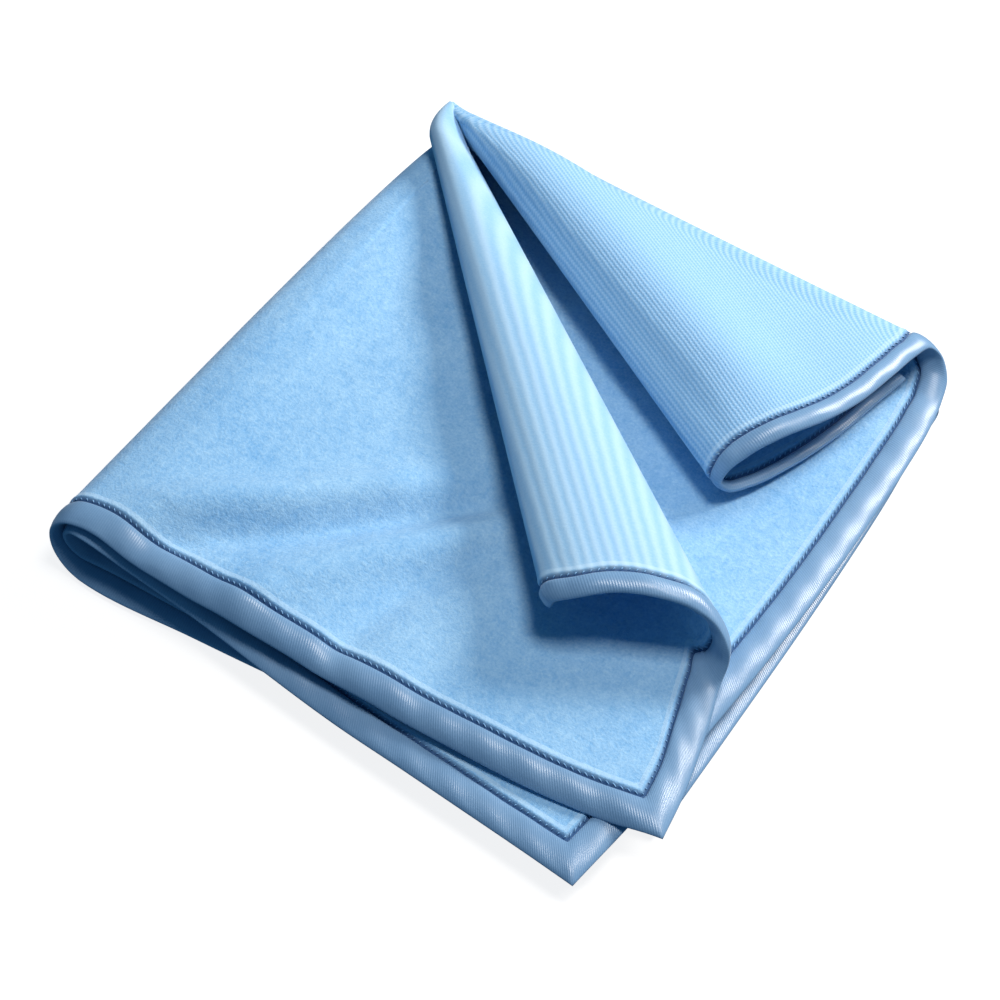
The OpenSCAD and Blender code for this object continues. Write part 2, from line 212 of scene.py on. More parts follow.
# The strip's sections in order, with the spacing of their lines along the hem. Their
# lines are closest where the cloth curves most.
SECTIONS = [
    ("right_under", RIGHT_ROLL_UNDER, 0.9),
    ("right_roll", RIGHT_ROLL, 0.45),
    ("right_fold", RIGHT_FOLD, 0.45),
    ("middle", MIDDLE_PLY, 1.6),
    ("inner", INNER_LOOP, 1.2),
    ("third", THIRD_PLY, 3.5),
    ("back", BACK_FOLD, 0.6),
    ("bottom", BOTTOM_PLY, 3.5),
    ("outer", OUTER_LOOP, 1.5),
    ("top", TOP_PLY, 1.4),
    ("left_roll", LEFT_ROLL, 0.45),
]
# The line of each ply that stands on its front corner.
CORNERS = {"middle": 7, "third": 4, "bottom": 4, "top": 8}


def smooth_strip():
    """Dense lines of the cloth, with where each section starts and where the corners are.

    A curve runs through the given lines, weighted by their spacing, and breaks at the
    corners of the hem."""
    points, spacing, first, corner = [], [], {}, {}
    for name, lines, step in SECTIONS:
        first[name] = len(points)
        if name in CORNERS:
            corner[name] = len(points) + CORNERS[name]
        points += lines
        spacing += [step] * len(lines)
    p = np.array(points, float).reshape(-1, 6)
    h = np.linalg.norm(np.diff(p[:, :3], axis=0), axis=1)
    h = np.maximum(h, 0.5 * np.linalg.norm(np.diff(p[:, 3:], axis=0), axis=1))
    slope = np.diff(p, axis=0) / h[:, None]
    inner = (slope[:-1] * h[1:, None] + slope[1:] * h[:-1, None]) / (h[1:] + h[:-1])[:, None]
    before = np.concatenate([slope[:1], inner, slope[-1:]])
    after = before.copy()
    for k in corner.values():
        before[k], after[k] = slope[k - 1], slope[k]
    dense, key = [], [0]
    for k in range(len(p) - 1):
        count = max(1, int(round(h[k] / min(spacing[k], spacing[k + 1]))))
        t = (np.arange(count) / count)[:, None]
        dense.append(
            (2 * t**3 - 3 * t**2 + 1) * p[k]
            + (t**3 - 2 * t**2 + t) * h[k] * after[k]
            + (3 * t**2 - 2 * t**3) * p[k + 1]
            + (t**3 - t**2) * h[k] * before[k + 1])
        key.append(key[-1] + count)
    dense.append(p[-1:])
    dense = np.concatenate(dense)
    return (dense[:, :3], dense[:, 3:], {n: key[k] for n, k in first.items()},
            {n: key[k] for n, k in corner.items()})


HEM, APEX, START, CORNER = smooth_strip()
COUNT = len(HEM)


def key_line(section, index):
    """Dense index of a section's line, counted among the lines given for it."""
    lines = next(given for name, given, _ in SECTIONS if name == section)
    target = np.array(lines[index], float)
    gap = np.abs(HEM - target[0]).sum(1) + np.abs(APEX - target[1]).sum(1)
    return int(gap.argmin())


FOLD_MIDDLE = key_line("middle", -1)
FOLD_THIRD = key_line("third", 0)
BACK_THIRD = key_line("third", -1)
BACK_BOTTOM = key_line("bottom", 0)
FOLD_BOTTOM = key_line("bottom", -1)
FOLD_TOP = key_line("top", 0)
RIGHT_HEM_END = key_line("middle", 0)
LEFT_ROLL_START = key_line("left_roll", 0)

# The two lowest plies lie flat all the way to their folds.
for first, last, height in (
        (FOLD_THIRD, BACK_THIRD, THIRD_Z), (BACK_BOTTOM, FOLD_BOTTOM, BOTTOM_Z)):
    HEM[first:last + 1, 2] = APEX[first:last + 1, 2] = height


RIGHT_HEM_TAPE_W = 9.5
RIGHT_ROLL_TAPE_W = 6
ROLL_UNDER_TAPE_W = 3.5
LEFT_ROLL_TAPE_W = 6.3
WIDTH_BLEND = 31    # number of lines over which one width passes into the next


def tape_widths():
    """Width of the binding on each line. It is drawn narrower round the rolls, and wider
    on the right hems of the upper plies."""
    width = np.full(COUNT, TAPE_W)
    width[:START["right_fold"]] = RIGHT_ROLL_TAPE_W
    width[:START["right_roll"]] = ROLL_UNDER_TAPE_W
    width[RIGHT_HEM_END:CORNER["middle"]] = RIGHT_HEM_TAPE_W
    width[CORNER["top"]:LEFT_ROLL_START] = RIGHT_HEM_TAPE_W
    width[LEFT_ROLL_START:] = LEFT_ROLL_TAPE_W
    blend = np.full(WIDTH_BLEND, 1 / WIDTH_BLEND)
    return np.convolve(np.pad(width, WIDTH_BLEND // 2, "edge"), blend, "valid")


WIDTH = tape_widths()

# ---------------------------------------------------------------- the closed corner

# Points behind the closed corner where lines end: those of the rolls, of the middle
# ply, and of the loops. The other lines end SHORT_TIP of their length past the corner.
ROLL_TIP = np.array([-98, 109, 38.5])
PLY_TIP = np.array([-99, 109, 17])
FOLD_TIP = APEX[FOLD_MIDDLE] + [0, 1.5, -1]
LOOP_TIP = [FOLD_X - 2, 110, LOOP_Z]
SHORT_TIP = 0.02


def tips():
    """Where each line would end if it ran on past the closed corner, under the rolls."""
    tip = APEX + SHORT_TIP * (APEX - HEM)
    for i in range(COUNT):
        if i <= START["right_fold"]:
            tip[i] = ROLL_TIP
        elif i <= RIGHT_HEM_END:
            f = (i - START["right_fold"]) / (RIGHT_HEM_END - START["right_fold"])
            tip[i] = ROLL_TIP + (PLY_TIP - ROLL_TIP) * f
        elif i <= FOLD_MIDDLE:
            f = (i - RIGHT_HEM_END) / (FOLD_MIDDLE - RIGHT_HEM_END)
            tip[i] = PLY_TIP + (FOLD_TIP - PLY_TIP) * f
        elif i < FOLD_THIRD or FOLD_BOTTOM < i < FOLD_TOP:
            tip[i] = LOOP_TIP
        elif i >= LEFT_ROLL_START:
            tip[i] = ROLL_TIP
    lead = START["left_roll"] - START["top"]
    for i in range(START["top"], LEFT_ROLL_START):
        f = ((i - START["top"]) / lead) ** 3
        tip[i] = tip[i] + (tip[LEFT_ROLL_START] - tip[i]) * f
    return tip


TIP = tips()
PAST = 0.1          # how far s runs past the closed corner, below 0
TURN = 0.55         # share of that way before a line turns towards its tip


def bump_line(x, y, path, width, height):
    """A soft ridge, or a valley where height is negative, along a path seen from above."""
    best = np.zeros_like(x)
    for (ax, ay), (bx, by) in zip(path[:-1], path[1:]):
        length = np.hypot(bx - ax, by - ay)
        ux, uy = (bx - ax) / length, (by - ay) / length
        along = (x - ax) * ux + (y - ay) * uy
        across = (x - ax) * uy - (y - ay) * ux
        beyond = np.maximum(np.maximum(-along, along - length), 0)
        best = np.maximum(best, np.exp(-(across / width) ** 2 - (beyond / (2.2 * width)) ** 2))
    return height * best


# The crest of the right roll, seen from above, its half width and its height above a
# roll that is lowered by RIDGE_SINK.
RIDGE = [(-45, 93), (-10, 79), (57, 49)]
RIDGE_WIDTH = 18
RIDGE_HEIGHT = 6.5
RIDGE_SINK = 2.5
# Ridges and valleys of the top ply: path seen from above, half width, height.
WRINKLES = [
    ([(-86, -84), (-63, -67), (-44, -53), (-25, -34)], 8, 4.2),
    ([(-61, -82), (-38, -61), (-17, -39), (-1, -23)], 7, -3.4),
    ([(-31, -81), (-14, -57), (5, -34)], 7.5, 3.6),
    ([(-3, -81), (1, -59), (11, -37)], 6, -2.4),
    ([(15, -82), (21, -60)], 9, 1.6),
    ([(-84, -40), (-60, 10)], 16, 1.5),
    ([(-70, -20), (-62, 40)], 12, -1.2),
]
WRINKLE_START = 14          # wrinkles fade in this far from the folded edge
EDGE_BULGE = 4.5            # height of the swelling along the folded edge
EDGE_REACH = 26             # and how far it reaches
FRONT_DROOP = 2.6           # how far the top ply droops at its front hem
DROOP_REACH = 15            # and from how far inside the hem


def share(i, start, end):
    """0 at line start and 1 at line end, eased, for line numbers i."""
    f = np.clip((i - start) / (end - start), 0, 1)
    return f * f * (3 - 2 * f)


def relief(i, s, p):
    """Height of the creases and the soft unevenness of the upper plies, in millimetres."""
    x, y = p[..., 0], p[..., 1]
    from_fold = np.maximum(x - FOLD_X, 0)
    on_top = (i >= FOLD_TOP) * (1 - np.exp(-(from_fold / WRINKLE_START) ** 2))
    on_top = on_top * (1 - share(i, CORNER["top"] + 18, LEFT_ROLL_START))
    on_middle = share(i, RIGHT_HEM_END - 10, RIGHT_HEM_END + 30)
    on_middle = on_middle * (1 - share(i, FOLD_MIDDLE - 26, FOLD_MIDDLE))
    folds = sum(bump_line(x, y, *w) for w in WRINKLES)
    slow = 0.5 * np.sin(x / 17 + 1) * np.cos(y / 23) + 0.3 * np.sin(x / 9 - y / 12 + 2)
    on_edge = share(i, FOLD_BOTTOM, FOLD_TOP) * (1 - share(i, CORNER["top"], LEFT_ROLL_START))
    on_edge = on_edge * np.exp(-(from_fold / EDGE_REACH) ** 2)
    bulge = EDGE_BULGE * np.sin(pi * np.clip(s, 0, 1) ** 0.6)
    on_roll = share(i, START["right_roll"], START["right_roll"] + 30)
    on_roll = on_roll * (1 - share(i, START["right_fold"] - 30, START["right_fold"]))
    ridge = bump_line(x, y, RIDGE, RIDGE_WIDTH, RIDGE_HEIGHT) - RIDGE_SINK
    to_hem = (1 - s) * np.linalg.norm(HEM[i] - APEX[i], axis=-1)
    front = share(i, FOLD_TOP, FOLD_TOP + 20) * (1 - share(i, CORNER["top"] - 14, CORNER["top"]))
    droop = -FRONT_DROOP * front * np.clip(1 - to_hem / DROOP_REACH, 0, 1) ** 2
    return (droop + on_top * (folds + slow) + on_middle * 0.5 * slow + on_edge * bulge
            + on_roll * ridge * np.clip((1 - s) / 0.2, 0.35, 1))


def middle_of(i, s):
    """Points of the middle of the fabric on lines i, s along them from 0 to 1 at the hem."""
    i = np.clip(i, 0, COUNT - 1)
    apex, hem, tip = APEX[i], HEM[i], TIP[i]
    s = np.asarray(s, float)[..., None]
    flat = apex + s * (hem - apex)
    q = np.clip(-s / PAST, 0, 1)
    reach = np.linalg.norm(tip - apex, axis=-1, keepdims=True)
    away = (apex - hem) / np.linalg.norm(apex - hem, axis=-1, keepdims=True)
    turn = apex + TURN * reach * away
    past = (1 - q) ** 2 * apex + 2 * q * (1 - q) * turn + q**2 * tip
    p = np.where(s < 0, past, flat)
    i = np.broadcast_to(i, p.shape[:-1])
    p[..., 2] += relief(i, s[..., 0], p)
    return p


def normal_of(i, s):
    """Normals of the fabric on its outer side: the one that is up on the top ply."""
    s = np.asarray(s, float)
    along = middle_of(i, s + 0.01) - middle_of(i, s - 0.01)
    across = middle_of(i + 1, s) - middle_of(i - 1, s)
    n = np.cross(along, across)
    size = np.linalg.norm(n, axis=-1, keepdims=True)
    return n / np.maximum(size, 1e-9)


def hem_way(i):
    """Direction of the hem at lines i, one-sided at the corners of the hem."""
    ahead, behind = np.clip(i + 1, 0, COUNT - 1), np.clip(i - 1, 0, COUNT - 1)
    for k in CORNER.values():
        ahead = np.where(i == k, k, ahead)
    way = HEM[ahead] - HEM[behind]
    return way / np.linalg.norm(way, axis=-1, keepdims=True)


CORNER_REACH = 20   # number of lines each side of a corner on which both hems count


def inset(i, d):
    """Place along lines i that lies d inside the hem. Near a corner both hems count."""
    line = HEM[i] - APEX[i]
    length = np.linalg.norm(line, axis=-1)
    slant = np.linalg.norm(np.cross(line / length[..., None], hem_way(i)), axis=-1)
    place = 1 - d / (length * slant)
    for k in CORNER.values():
        after, before = (i >= k) & (i < k + CORNER_REACH), (i <= k) & (i > k - CORNER_REACH)
        for a, b, near in ((k - 1, k, after), (k, k + 1, before)):
            way = (HEM[b] - HEM[a]) / np.linalg.norm(HEM[b] - HEM[a])
            out = np.cross(way, [0, 0, 1.0])
            out *= np.sign(np.dot(out, HEM[k] - APEX[k]))
            rise = (line * out).sum(-1)
            level = ((HEM[k] - APEX[i]) * out).sum(-1)
            other = (level - d) / np.where(np.abs(rise) < 1e-6, 1e-6, rise)
            place = np.where(near & (rise > 0.2 * length), np.minimum(place, other), place)
    return place


def fan_angles():
    """Direction in which each line leaves the closed corner when the cloth is laid flat,
    in radians from the line that the ribs of its part follow."""
    way = (HEM - APEX) / np.linalg.norm(HEM - APEX, axis=1, keepdims=True)
    turn = np.concatenate([[0], np.cumsum(np.linalg.norm(np.diff(way, axis=0), axis=1))])
    turn[:FOLD_MIDDLE + 1] -= turn[key_line("right_roll", 0)]
    turn[FOLD_TOP:] -= turn[key_line("left_roll", 6)]
    return turn


FAN = fan_angles()


def flat_of(i, s):
    """Places of points on the flat cloth, in millimetres: along the ribs and across them."""
    reach = np.asarray(s, float) * np.linalg.norm(HEM[i] - APEX[i], axis=-1)
    return np.stack([reach * np.cos(FAN[i]), reach * np.sin(FAN[i]), 0 * reach], -1)


# ---------------------------------------------------------------- meshes


def new_mesh(name, points, faces, materials, face_material=None, flat=None, normals=None):
    """A smooth mesh object from points in millimetres and lists of corner numbers."""
    mesh = bpy.data.meshes.new(name)
    corners = np.concatenate([f.reshape(-1) for f in faces]).astype(np.int32)
    sizes = np.concatenate([np.full(len(f), f.shape[1]) for f in faces]).astype(np.int32)
    starts = np.concatenate([[0], np.cumsum(sizes)[:-1]]).astype(np.int32)
    mesh.vertices.add(len(points))
    mesh.vertices.foreach_set("co", (points * MM).astype(np.float32).ravel())
    mesh.loops.add(len(corners))
    mesh.loops.foreach_set("vertex_index", corners)
    mesh.polygons.add(len(sizes))
    mesh.polygons.foreach_set("loop_start", starts)
    mesh.polygons.foreach_set("use_smooth", np.ones(len(sizes), bool))
    for material in materials:
        mesh.materials.append(material)
    if face_material is not None:
        mesh.polygons.foreach_set("material_index", face_material.astype(np.int32))
    if flat is not None:
        layer = mesh.attributes.new("flat", "FLOAT_VECTOR", "POINT")
        layer.data.foreach_set("vector", flat.astype(np.float32).ravel())
    mesh.update(calc_edges=True)
    mesh.validate()
    if normals is not None:
        mesh.normals_split_custom_set_from_vertices(normals.tolist())
    obj = bpy.data.objects.new(name, mesh)
    bpy.context.scene.collection.objects.link(obj)
    return obj


def surface_normals(grid, closed=False):
    """Normals of a grid of points on the side that is outer for the cloth's lines. The
    grid has one spare row at each end, so that pieces that meet share their shading."""
    across = grid[2:] - grid[:-2]
    if closed:
        along = np.roll(grid, -1, 1) - np.roll(grid, 1, 1)
    else:
        along = np.gradient(grid, axis=1)
    n = np.cross(along[1:-1], across)
    size = np.linalg.norm(n, axis=-1, keepdims=True)
    return n / np.maximum(size, 1e-9), size[..., 0] > 1e-7


def grid_faces(rows, cols, offset=0, flip=False, closed=False):
    """Quads of a grid of rows x cols points. closed joins the last column to the first."""
    i, j = np.meshgrid(np.arange(rows - 1), np.arange(cols if closed else cols - 1), indexing="ij")
    k = (j + 1) % cols
    quad = np.stack([i * cols + j, (i + 1) * cols + j, (i + 1) * cols + k, i * cols + k], -1)
    quad = quad.reshape(-1, 4) + offset
    return quad[:, ::-1] if flip else quad


DRAWN_W = 10        # width of the binding that the distances in the tables below suit


def from_hem(i, d):
    """Distance d from the hem for a binding DRAWN_W wide, made to suit that of lines i."""
    return WIDTH[i] * min(d, DRAWN_W) / DRAWN_W + max(d - DRAWN_W, 0)


# Distance from the hem and half thickness of the fabric in its last rows. The seam draws
# a groove beside the tape, with a lip inside it, and the tape squeezes the edge.
EDGE_ROWS = np.array([
    (22, 1.5), (18, 1.5), (15.5, 1.5), (14, 1.52), (13.2, 1.6), (12.6, 1.72), (12.1, 1.76),
    (11.7, 1.62), (11.3, 1.3), (10.9, 1.0), (10.5, 0.82), (10.1, 0.78), (9.6, 0.85),
    (7, 0.9), (4, 0.88), (2.2, 0.7)])
FAR_FROM_HEM = 40   # given as the distance from the hem in all the rows inside these
ROW_CROWDING = 1.15     # above 1, rows are wider apart near the closed corner
TIP_THINNING = 0.35     # share of the thickness lost towards a tip


def panel(name, first, last, inner_rows, start, materials, outer_kind, inner_kind):
    """The fabric between two lines, with a face on each side and a rim all round.

    inner_rows is the number of rows inside EDGE_ROWS, and start the place along the lines
    of the first one. outer_kind and inner_kind number the material of each side."""
    i = np.clip(np.arange(first - 1, last + 2), 0, COUNT - 1)[:, None]
    edge = np.stack([inset(i[:, 0], from_hem(i[:, 0], d)) for d, _ in EDGE_ROWS], 1)
    f = np.linspace(0, 1, inner_rows, endpoint=False)[None, :]
    f = 1 - (1 - f) ** ROW_CROWDING
    s = np.concatenate([start + f * (edge[:, :1] - start), edge], 1)
    half = np.concatenate([np.full(inner_rows, FABRIC_T / 2), EDGE_ROWS[:, 1]])[None, :]
    half = np.repeat(half, len(i), 0)
    if start < 0:
        half = half * np.where(s < 0, 1 - TIP_THINNING * np.minimum(-s / PAST, 1), 1)
    p, n = middle_of(i, s), normal_of(i, np.maximum(s, -0.9 * PAST))
    flat = flat_of(i, s)[1:-1]
    flat[..., 2] = np.concatenate([np.full(inner_rows, FAR_FROM_HEM), EDGE_ROWS[:, 0]])
    points, normals = [], []
    for side in (1, -1):
        grid = p + side * half[..., None] * n
        shading, sound = surface_normals(grid)
        points.append(grid[1:-1].reshape(-1, 3))
        normals.append(side * np.where(sound[..., None], shading, n[1:-1]).reshape(-1, 3))
    points, normals = np.concatenate(points), np.concatenate(normals)
    rows, cols = flat.shape[:2]
    count = rows * cols
    a = np.arange(rows - 1)
    b = np.arange(cols - 1)
    rims = [
        np.stack([a * cols, a * cols + count, (a + 1) * cols + count, (a + 1) * cols], -1),
        np.stack([(a + 1) * cols + cols - 1, (a + 1) * cols + cols - 1 + count,
                  a * cols + cols - 1 + count, a * cols + cols - 1], -1),
        np.stack([b + 1, b + 1 + count, b + count, b], -1),
        np.stack([(rows - 1) * cols + b, (rows - 1) * cols + b + count,
                  (rows - 1) * cols + b + 1 + count, (rows - 1) * cols + b + 1], -1),
    ]
    outer = grid_faces(rows, cols, 0, flip=True)
    inner = grid_faces(rows, cols, count)
    faces = [outer, inner, *(rim[:, ::-1] for rim in rims)]
    kinds = np.concatenate([np.full(len(outer), outer_kind), np.full(len(inner), inner_kind),
                            np.zeros(sum(len(r) for r in rims))])
    flat = np.concatenate([flat.reshape(-1, 3)] * 2)
    return new_mesh(name, points, faces, materials, kinds, flat, normals)


# Section of the binding tape: distance from the hem and height, on one side of the
# fabric. The outside is crowned, and its edge is tucked down at the seam.
TAPE_OUTSIDE = [
    (10.05, 0.9), (10.15, 1.2), (10.0, 1.55), (9.5, 1.86), (8.6, 2.08), (7.4, 2.18), (6, 2.15),
    (4.6, 2.0), (3.3, 1.74), (2.2, 1.43), (1.3, 1.08), (0.6, 0.72), (0.15, 0.34), (0, 0)]
TAPE_INSIDE = [(9.9, 0.86), (6, 0.95), (2.6, 0.9), (1.9, 0.45), (1.7, 0)]
TAPE_CROWN = 2.18   # greatest height in TAPE_OUTSIDE
TAPE_RIPPLE = 0.06


def tape_half(i):
    """Half thickness of the bound edge: flat in the lower plies, plump in the upper ones,
    and slim under the right roll."""
    low = TAPE_T / 2
    loose = np.maximum(share(-i, -FOLD_MIDDLE, -FOLD_MIDDLE + 25),
                       share(i, FOLD_TOP, FOLD_TOP + 25))
    slim = 1 - 0.35 * (1 - share(i, START["right_roll"] - 20, START["right_roll"] + 10))
    return (low + loose * (TAPE_CROWN - low)) * slim


def tape(name, first, last, material):
    """The binding tape round the hem between two lines, a closed channel."""
    i = np.clip(np.arange(first - 1, last + 2), 0, COUNT - 1)
    outside = TAPE_OUTSIDE + [(d, -h) for d, h in TAPE_OUTSIDE[-2::-1]]
    inside = [(d, -h) for d, h in TAPE_INSIDE] + TAPE_INSIDE[-2::-1]
    profile = np.array(outside + inside)
    s = np.stack([inset(i, from_hem(i, d)) for d, _ in profile], 1)
    p, n = middle_of(i[:, None], s), normal_of(i[:, None], s)
    run = np.cumsum(np.linalg.norm(np.diff(HEM, axis=0, prepend=HEM[:1]), axis=1))[i]
    half = (tape_half(i) / TAPE_CROWN)[:, None]
    height = profile[None, :, 1] * np.where(np.abs(profile[None, :, 1]) > 1, half, 1)
    ripple = TAPE_RIPPLE * np.sin(run / 2.3)
    height = height * (1 + ripple[:, None] * (profile[None, :, 0] > 2))
    grid = p + height[..., None] * n
    normals = surface_normals(grid, closed=True)[0]
    points = grid[1:-1].reshape(-1, 3)
    rows, cols = len(i) - 2, len(profile)
    faces = [grid_faces(rows, cols, closed=True, flip=True),
             np.arange(cols)[None, ::-1],
             np.arange(cols)[None, :] + (rows - 1) * cols]
    flat = np.stack([np.repeat(run[1:-1, None], cols, 1), np.repeat(profile[None, :, 0], rows, 0),
                     np.zeros((rows, cols))], -1).reshape(-1, 3)
    return new_mesh(name, points, faces, [material], flat=flat, normals=normals.reshape(-1, 3))


STITCH_PITCH = 2.1
STITCH_R = 0.17
STITCH_ENDS = (11.5, 10.7)      # distances from the hem of a stitch's two ends
STITCH_LEAN = 0.5               # its ends are this far before and behind its middle
STITCH_LOW, STITCH_ARCH = 1.12, 0.34    # height of its ends, and of its middle over them
STITCH_RINGS, STITCH_SIDES = 5, 6


def stitches(name, first, last, side, material):
    """A row of slanted stitches beside the tape, on the outer (1) or inner (-1) face."""
    i = np.arange(first, last + 1)
    tracks = []
    for d in STITCH_ENDS:
        s = inset(i, from_hem(i, d))
        p, n = middle_of(i[:, None], s[:, None])[:, 0], normal_of(i[:, None], s[:, None])[:, 0]
        tracks.append((p, n))
    run = np.concatenate([[0], np.cumsum(np.linalg.norm(np.diff(tracks[0][0], axis=0), axis=1))])
    count = max(2, int(run[-1] / STITCH_PITCH))
    middle = (np.arange(count) + 0.5) * run[-1] / count
    rings, sides = STITCH_RINGS, STITCH_SIDES
    u = np.linspace(-1, 1, rings)
    angle = np.arange(sides) * 2 * pi / sides

    def track(k, at):
        p, n = tracks[k]
        return (np.stack([np.interp(at, run, p[:, c]) for c in range(3)], -1),
                np.stack([np.interp(at, run, n[:, c]) for c in range(3)], -1))

    a, na = track(0, middle - STITCH_LEAN)
    b, nb = track(1, middle + STITCH_LEAN)
    way = (b - a) / np.linalg.norm(b - a, axis=1, keepdims=True)
    n = (na + nb) * side / 2
    n -= (n * way).sum(1, keepdims=True) * way
    n /= np.linalg.norm(n, axis=1, keepdims=True)
    across = np.cross(way, n)
    points = []
    for w in u:
        rise = STITCH_LOW + STITCH_ARCH * (1 - w * w)
        centre = a + (b - a) * (w + 1) / 2 + n * rise[..., None]
        r = STITCH_R * np.sqrt(max(1 - 0.8 * w**4, 0.12))
        for g in angle:
            points.append(centre + r * (cos(g) * across + sin(g) * n))
    points = np.stack(points, 1).reshape(-1, 3)
    ring = grid_faces(rings, sides, closed=True)
    caps = np.stack([np.arange(sides), np.arange(sides)[::-1] + (rings - 1) * sides])
    base = (np.arange(count) * rings * sides)[:, None, None]
    faces = [(ring[None] + base).reshape(-1, 4), (caps[None] + base).reshape(-1, sides)]
    return new_mesh(name, points, faces, [material])


# ---------------------------------------------------------------- materials


def socket(node, name, value):
    node.inputs[name].default_value = value


class Shader:
    """Small helper that adds nodes to a new material and joins them."""

    def __init__(self, name):
        self.material = bpy.data.materials.new(name)
        self.material.use_nodes = True
        self.tree = self.material.node_tree
        self.main = self.tree.nodes["Principled BSDF"]

    def add(self, kind, **inputs):
        node = self.tree.nodes.new(kind)
        for key, value in inputs.items():
            self.put(node.inputs[key.replace("_", " ")], value)
        return node

    def put(self, target, value):
        if isinstance(value, bpy.types.NodeSocket):
            self.tree.links.new(value, target)
        else:
            target.default_value = value

    def math(self, operation, a, b=0.0):
        node = self.tree.nodes.new("ShaderNodeMath")
        node.operation = operation
        self.put(node.inputs[0], a)
        self.put(node.inputs[1], b)
        return node.outputs[0]

    def total(self, *parts):
        """Sum of values, each given with its weight."""
        terms = [self.math("MULTIPLY", value, weight) for value, weight in parts]
        result = terms.pop()
        while terms:
            result = self.math("ADD", terms.pop(), result)
        return result

    def range(self, value, low, high):
        """0 where value is low and 1 where it is high, even between them, and clamped."""
        node = self.add("ShaderNodeMapRange", Value=value, From_Min=low, From_Max=high)
        return node.outputs["Result"]

    def noise(self, size, vector, detail=2.0, rough=0.5):
        """Noise from 0 to 1 whose blobs are about size millimetres across."""
        node = self.add("ShaderNodeTexNoise", Scale=1000 / size, Detail=detail, Roughness=rough)
        self.put(node.inputs["Vector"], vector)
        return node.outputs["Fac"]

    def mix(self, amount, a, b):
        node = self.tree.nodes.new("ShaderNodeMix")
        node.data_type = "RGBA"
        self.put(node.inputs["Factor"], amount)
        self.put(node.inputs["A"], a)
        self.put(node.inputs["B"], b)
        return node.outputs["Result"]

    def place(self):
        return self.tree.nodes.new("ShaderNodeTexCoord").outputs["Object"]

    def flat(self):
        """X and Y of a point on the flat cloth and its distance from the hem, in
        millimetres. On the tape: the way along the hem, the distance from it, and 0."""
        node = self.tree.nodes.new("ShaderNodeAttribute")
        node.attribute_name = "flat"
        split = self.add("ShaderNodeSeparateXYZ")
        self.put(split.inputs[0], node.outputs["Vector"])
        return split.outputs["X"], split.outputs["Y"], split.outputs["Z"]

    def seam(self, colour, from_hem):
        """Paints shade and a highlight into a colour: it darkens the stitched groove beside the
        tape as painted shade, and lightens the lip inside it as a painted highlight.
        """
        # painted shade: from 12 mm to the hem the colour is darkened towards navy, fully from 10.9
        # mm in
        groove_shade = self.range(from_hem, 12.0, 10.9)
        # painted highlight: the colour is lightened within 0.7 mm of 12.9 mm from the hem
        off_lip = self.math("ABSOLUTE", self.math("SUBTRACT", from_hem, 12.9))
        lip_highlight = self.math("MULTIPLY", self.math("LESS_THAN", off_lip, 0.7), 0.35)
        colour = self.mix(lip_highlight, colour, srgb("#C6E2F6"))
        return self.mix(self.math("MULTIPLY", groove_shade, 0.85), colour, srgb("#12386E"))

    def wave(self, position, pitch):
        """A cosine from 0 to 1 along position, one period every pitch millimetres."""
        turn = self.math("COSINE", self.math("MULTIPLY", position, 2 * pi / pitch))
        return self.math("MULTIPLY_ADD", turn, 0.5)     # what is added is 0.5, the default

    def bump(self, height, strength, distance):
        node = self.add("ShaderNodeBump", Strength=strength, Distance=distance * MM, Height=height)
        self.put(self.main.inputs["Normal"], node.outputs["Normal"])


def srgb(code):
    """Linear colour of a hex code."""
    parts = [int(code[k:k + 2], 16) / 255 for k in (1, 3, 5)]
    linear = [c / 12.92 if c <= 0.04045 else ((c + 0.055) / 1.055) ** 2.4 for c in parts]
    return (*linear, 1.0)


def plush():
    """Short plush face of the cloth."""
    m = Shader("plush_knit")
    at = m.place()
    grain = m.noise(0.9, at, 3, 0.7)
    tuft = m.noise(3.0, at, 2, 0.6)
    cloud = m.noise(26.0, at, 2, 0.5)
    mixed = m.total((grain, 0.55), (tuft, 0.3), (cloud, 0.25))
    amount = m.range(mixed, 0.34, 0.76)
    colour = m.mix(amount, srgb("#6BA6D9"), srgb("#A9D2F0"))
    # painted shade in the stitched groove and a painted highlight on the lip beside it
    m.put(m.main.inputs["Base Color"], m.seam(colour, m.flat()[2]))
    socket(m.main, "Roughness", 0.95)
    socket(m.main, "Specular IOR Level", 0.15)
    socket(m.main, "Sheen Weight", 0.35)
    socket(m.main, "Sheen Roughness", 0.45)
    socket(m.main, "Sheen Tint", (0.8, 0.92, 1.0, 1.0))
    m.bump(m.total((grain, 0.6), (tuft, 0.5)), 0.8, 0.5)
    return m.material


def ribbed(name, pitch, cross, weft, deep, light):
    """Ribbed face of the knit: ribs of the given pitch, crossed by finer stitches whose
    strength is weft."""
    m = Shader(name)
    x, y, from_hem = m.flat()
    at = m.place()
    grain = m.noise(0.8, at, 3, 0.7)
    tuft = m.noise(5.0, at, 2, 0.5)
    wobble = m.math("MULTIPLY", m.math("SUBTRACT", tuft, 0.5), 0.5)
    rib = m.wave(m.math("ADD", y, wobble), pitch)
    stitch = m.wave(m.math("ADD", x, m.math("MULTIPLY", rib, cross * 0.5)), cross)
    amount = m.range(m.total((rib, 0.4), (stitch, weft), (grain, 0.5)), 0.15, 0.95)
    # painted shade in the stitched groove and a painted highlight on the lip beside it
    m.put(m.main.inputs["Base Color"], m.seam(m.mix(amount, srgb(deep), srgb(light)), from_hem))
    socket(m.main, "Roughness", 0.9)
    socket(m.main, "Specular IOR Level", 0.2)
    socket(m.main, "Sheen Weight", 0.3)
    socket(m.main, "Sheen Roughness", 0.5)
    socket(m.main, "Sheen Tint", (0.85, 0.95, 1.0, 1.0))
    m.bump(m.total((rib, 0.5), (stitch, weft), (grain, 0.35)), 0.5, 0.3)
    return m.material


